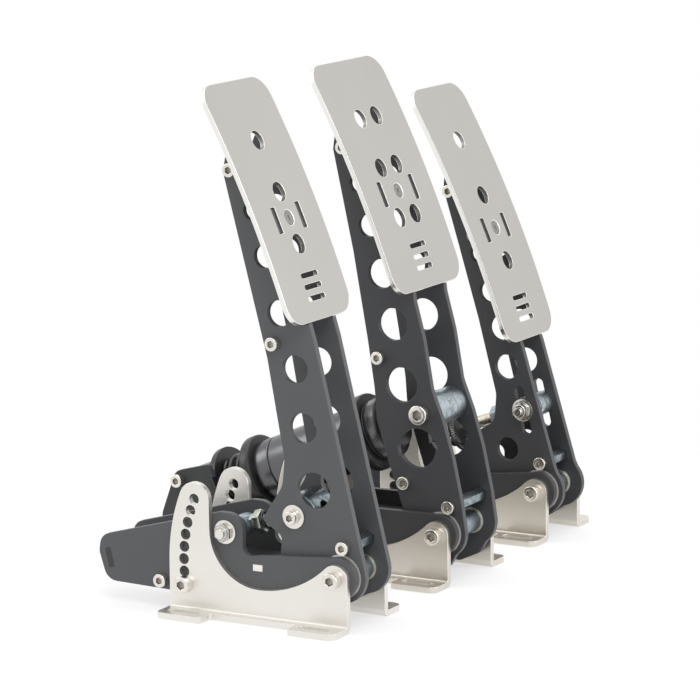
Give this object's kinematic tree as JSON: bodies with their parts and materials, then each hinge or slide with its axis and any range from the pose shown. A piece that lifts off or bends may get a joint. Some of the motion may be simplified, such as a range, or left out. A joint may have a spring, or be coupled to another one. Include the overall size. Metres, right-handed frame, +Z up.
{
  "type": "sim racing pedal set",
  "caption": "Clutch, brake and throttle pedals for a racing simulator, each a pair of drilled black arms with a curved steel face plate, hinged in its own bolt-down frame.",
  "frame": {"origin": "on the floor, at the middle of the set's bounding box", "axes": "+X to the driver's right across the row of pedals, +Y forwards and away from the driver, +Z up"},
  "size_m": [0.3474, 0.214, 0.3168],
  "materials": {
    "face": "bead-blasted stainless steel",
    "foot": "fine brushed stainless steel",
    "black": "matt fine-texture black powder coat",
    "frame_black": "matt fine-texture black powder coat",
    "zinc": "bright zinc plating, slightly blue and streaky",
    "screw": "bright stainless steel screws",
    "bush": "pale sliding bush",
    "anodised": "satin black anodised aluminium",
    "spring": "black coated spring wire",
    "yellow_zinc": "bright pale zinc plating, slightly warm",
    "cell": "machined aluminium",
    "housing": "matt black plastic"
  },
  "bodies": {
    "base": {"clutch_foot_left": "foot", "clutch_foot_right": "foot", "brake_foot_left": "foot", "brake_foot_right": "foot", "throttle_foot_left": "foot", "throttle_foot_right": "foot", "clutch_frame_left": "frame_black", "clutch_frame_right": "frame_black", "brake_frame_left": "frame_black", "brake_frame_right": "frame_black", "throttle_frame_left": "frame_black", "throttle_frame_right": "frame_black", "pivot_axles": "zinc", "pivot_washers": "screw", "foot_screws": "screw", "frame_spacers": "zinc", "frame_screws": "screw", "frame_webs": "frame_black", "clutch_anchor_bolt": "screw", "brake_reaction_plate": "anodised", "brake_load_cell": "cell", "brake_spring": "spring", "throttle_guide": "zinc", "sensor_housings": "housing"},
    "clutch_arm": {"clutch_arm_left": "black", "clutch_arm_right": "black", "clutch_face_plate": "face", "clutch_face_block": "frame_black", "clutch_arm_spacers": "zinc", "clutch_arm_screws": "screw", "clutch_pivot_sleeve": "zinc", "clutch_pivot_bushes": "bush"},
    "clutch_barrel": {"clutch_link_barrel": "zinc"},
    "clutch_rod": {"clutch_slide_rod": "zinc", "clutch_rod_nuts": "zinc", "clutch_spring": "spring"},
    "brake_arm": {"brake_arm_left": "black", "brake_arm_right": "black", "brake_face_plate": "face", "brake_face_block": "frame_black", "brake_arm_spacers": "zinc", "brake_arm_screws": "screw", "brake_pivot_sleeve": "zinc", "brake_pivot_bushes": "bush"},
    "brake_unit": {"brake_cross_tube": "zinc", "brake_push_rod": "zinc", "brake_front_flange": "anodised", "brake_housing": "anodised"},
    "brake_ring": {"brake_preload_ring": "anodised"},
    "throttle_arm": {"throttle_arm_left": "black", "throttle_arm_right": "black", "throttle_face_plate": "face", "throttle_face_block": "frame_black", "throttle_arm_spacers": "zinc", "throttle_arm_screws": "screw", "throttle_pivot_sleeve": "zinc", "throttle_pivot_bushes": "bush", "throttle_lever_spacer": "zinc"},
    "throttle_link": {"throttle_rod": "yellow_zinc", "throttle_preload_ring": "anodised", "throttle_spring": "spring"}
  },
  "joints": [
    {"name": "clutch_pedal", "type": "hinge", "parent": "base", "child": "clutch_arm", "pos_m": [-0.13125, -0.09095, 0.032], "axis": [1, 0, 0], "range_deg": [-18, 0], "stiffness_Nm_per_rad": 40, "springref_deg": 5.73, "deforming": ["clutch_spring"]},
    {"name": "clutch_rod_turn", "type": "hinge", "parent": "base", "child": "clutch_rod", "pos_m": [-0.13125, -0.01565, 0.052], "axis": [1, 0, 0], "range_deg": [0, 12.9]},
    {"name": "clutch_barrel_turn", "type": "hinge", "parent": "clutch_arm", "child": "clutch_barrel", "pos_m": [-0.13125, -0.05946, 0.0647], "axis": [1, 0, 0], "range_deg": [0, 30.9]},
    {"name": "brake_pedal", "type": "hinge", "parent": "base", "child": "brake_arm", "pos_m": [0.00125, -0.09095, 0.032], "axis": [1, 0, 0], "range_deg": [-5, 0], "stiffness_Nm_per_rad": 300, "springref_deg": 1.72, "deforming": ["brake_spring"]},
    {"name": "brake_unit_turn", "type": "hinge", "parent": "brake_arm", "child": "brake_unit", "pos_m": [0.00125, -0.07745, 0.105], "axis": [1, 0, 0], "range_deg": [0, 4.6]},
    {"name": "brake_ring_turn", "type": "hinge", "parent": "brake_unit", "child": "brake_ring", "pos_m": [0.00125, -0.04072, 0.08918], "axis": [0, 0.9184, -0.3955], "range_deg": [-180, 180]},
    {"name": "throttle_pedal", "type": "hinge", "parent": "base", "child": "throttle_arm", "pos_m": [0.13125, -0.09095, 0.032], "axis": [1, 0, 0], "range_deg": [-16, 0], "stiffness_Nm_per_rad": 15, "springref_deg": 6.88, "deforming": ["throttle_spring"]},
    {"name": "throttle_rod_turn", "type": "hinge", "parent": "throttle_arm", "child": "throttle_link", "pos_m": [0.13125, -0.07845, 0.083], "axis": [1, 0, 0], "range_deg": [0, 16.1]}
  ],
  "couplings": [
    {"joint": "clutch_rod_turn", "follows": "clutch_pedal", "ratio": -0.713},
    {"joint": "clutch_barrel_turn", "follows": "clutch_pedal", "ratio": -1.713},
    {"joint": "brake_unit_turn", "follows": "brake_pedal", "ratio": -0.914},
    {"joint": "throttle_rod_turn", "follows": "throttle_pedal", "ratio": -1.002}
  ]
}
